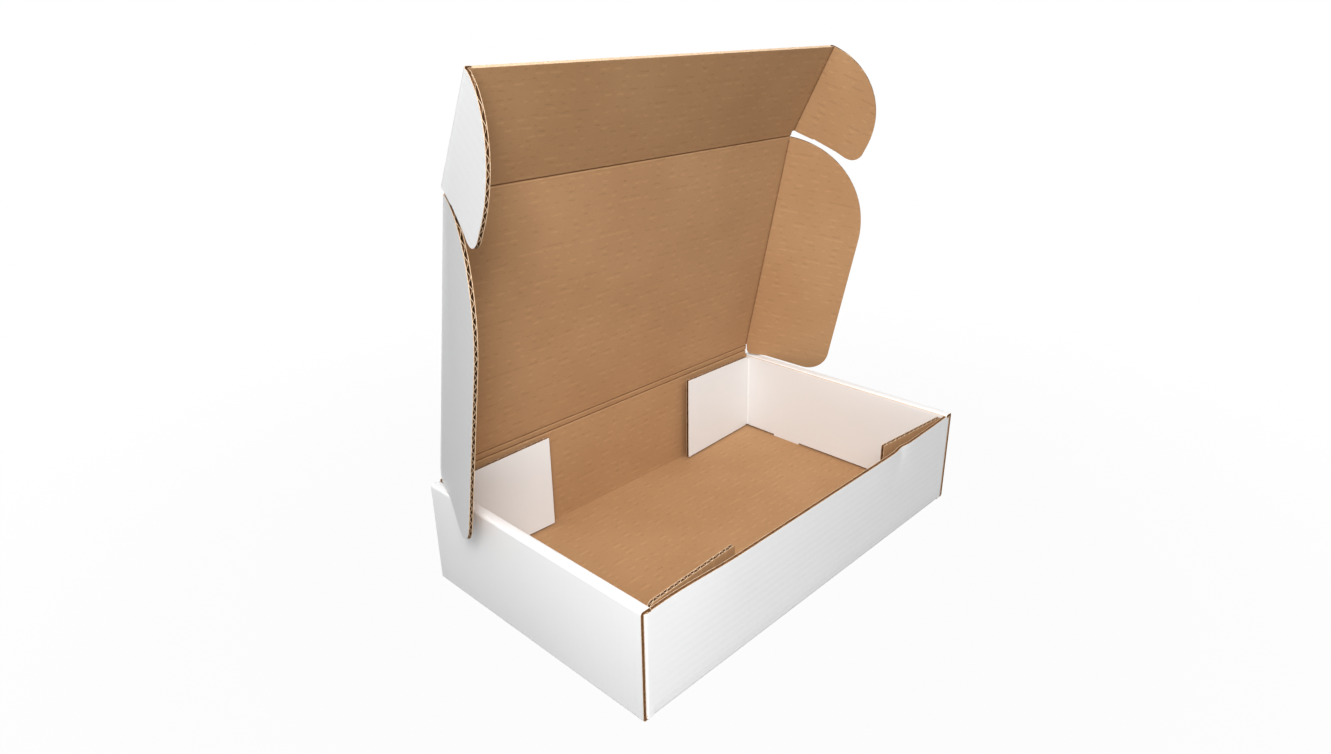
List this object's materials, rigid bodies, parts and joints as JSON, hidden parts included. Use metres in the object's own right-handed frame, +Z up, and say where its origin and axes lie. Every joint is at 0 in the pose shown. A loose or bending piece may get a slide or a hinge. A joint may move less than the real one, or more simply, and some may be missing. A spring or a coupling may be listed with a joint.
{
  "type": "corrugated mailer box",
  "caption": "Folded corrugated mailer tray with a hinged lid, curved side flaps and a tuck front with ears, white outside and brown inside, shown open",
  "frame": {"origin": "middle of the tray's underside, on the surface it stands on", "axes": "+X to the right along the front wall, +Y from the front wall to the back wall, +Z up"},
  "size_m": [0.4356, 0.2285, 0.3813],
  "materials": {
    "board": "white coated outside, uncoated brown inside and at cut edges"
  },
  "bodies": {
    "tray": {"tray": "board"},
    "lid_hinge_strip": {"lid_hinge_strip": "board"},
    "lid": {"lid": "board"},
    "tuck_panel": {"tuck_panel": "board"},
    "tuck_ear_left": {"tuck_ear_left": "board"},
    "tuck_ear_right": {"tuck_ear_right": "board"},
    "side_flap_left": {"side_flap_left": "board"},
    "side_flap_right": {"side_flap_right": "board"},
    "inner_flap_front_left": {"inner_flap_front_left": "board"},
    "inner_flap_front_right": {"inner_flap_front_right": "board"},
    "inner_flap_back_left": {"inner_flap_back_left": "board"},
    "inner_flap_back_right": {"inner_flap_back_right": "board"}
  },
  "joints": [
    {"name": "lid_shut", "type": "hinge", "parent": "tray", "child": "lid_hinge_strip", "pos_m": [0, 0.11135, 0.088], "axis": [-1, 0, 0], "range_deg": [-70, 0]},
    {"name": "lid_back", "type": "hinge", "parent": "lid_hinge_strip", "child": "lid", "pos_m": [0, 0.11041, 0.09393], "axis": [-1, 0, 0], "range_deg": [0, 102]},
    {"name": "tuck_bend", "type": "hinge", "parent": "lid", "child": "tuck_panel", "pos_m": [0, 0.06513, 0.30513], "axis": [1, 0, 0], "range_deg": [-40, 5]},
    {"name": "ear_left_fold", "type": "hinge", "parent": "tuck_panel", "child": "tuck_ear_left", "pos_m": [-0.182, 0.06513, 0.30513], "axis": [0, -0.4679, 0.8838], "range_deg": [-75, 15]},
    {"name": "ear_right_fold", "type": "hinge", "parent": "tuck_panel", "child": "tuck_ear_right", "pos_m": [0.182, 0.06513, 0.30513], "axis": [0, 0.4679, -0.8838], "range_deg": [-60, 30]},
    {"name": "side_flap_left_fold", "type": "hinge", "parent": "lid", "child": "side_flap_left", "pos_m": [-0.1794, 0.11041, 0.09393], "axis": [0, -0.2096, 0.9778], "range_deg": [-60, 0]},
    {"name": "side_flap_right_fold", "type": "hinge", "parent": "lid", "child": "side_flap_right", "pos_m": [0.1794, 0.11041, 0.09393], "axis": [0, 0.2096, -0.9778], "range_deg": [-50, 0]},
    {"name": "inner_flap_front_left_swing", "type": "hinge", "parent": "tray", "child": "inner_flap_front_left", "pos_m": [-0.1811, -0.10665, 0.0415], "axis": [0, 0, 1], "range_deg": [-2.5, 83.5]},
    {"name": "inner_flap_back_left_swing", "type": "hinge", "parent": "tray", "child": "inner_flap_back_left", "pos_m": [-0.1811, 0.10665, 0.0415], "axis": [0, 0, -1], "range_deg": [-1.6, 84.4]},
    {"name": "inner_flap_front_right_swing", "type": "hinge", "parent": "tray", "child": "inner_flap_front_right", "pos_m": [0.1811, -0.10665, 0.0415], "axis": [0, 0, -1], "range_deg": [-4.8, 81.2]},
    {"name": "inner_flap_back_right_swing", "type": "hinge", "parent": "tray", "child": "inner_flap_back_right", "pos_m": [0.1811, 0.10665, 0.0415], "axis": [0, 0, 1], "range_deg": [-3.4, 82.6]}
  ],
  "couplings": [
    {"joint": "side_flap_left_fold", "follows": "lid_shut", "ratio": 0.857},
    {"joint": "side_flap_right_fold", "follows": "lid_shut", "ratio": 0.714}
  ]
}
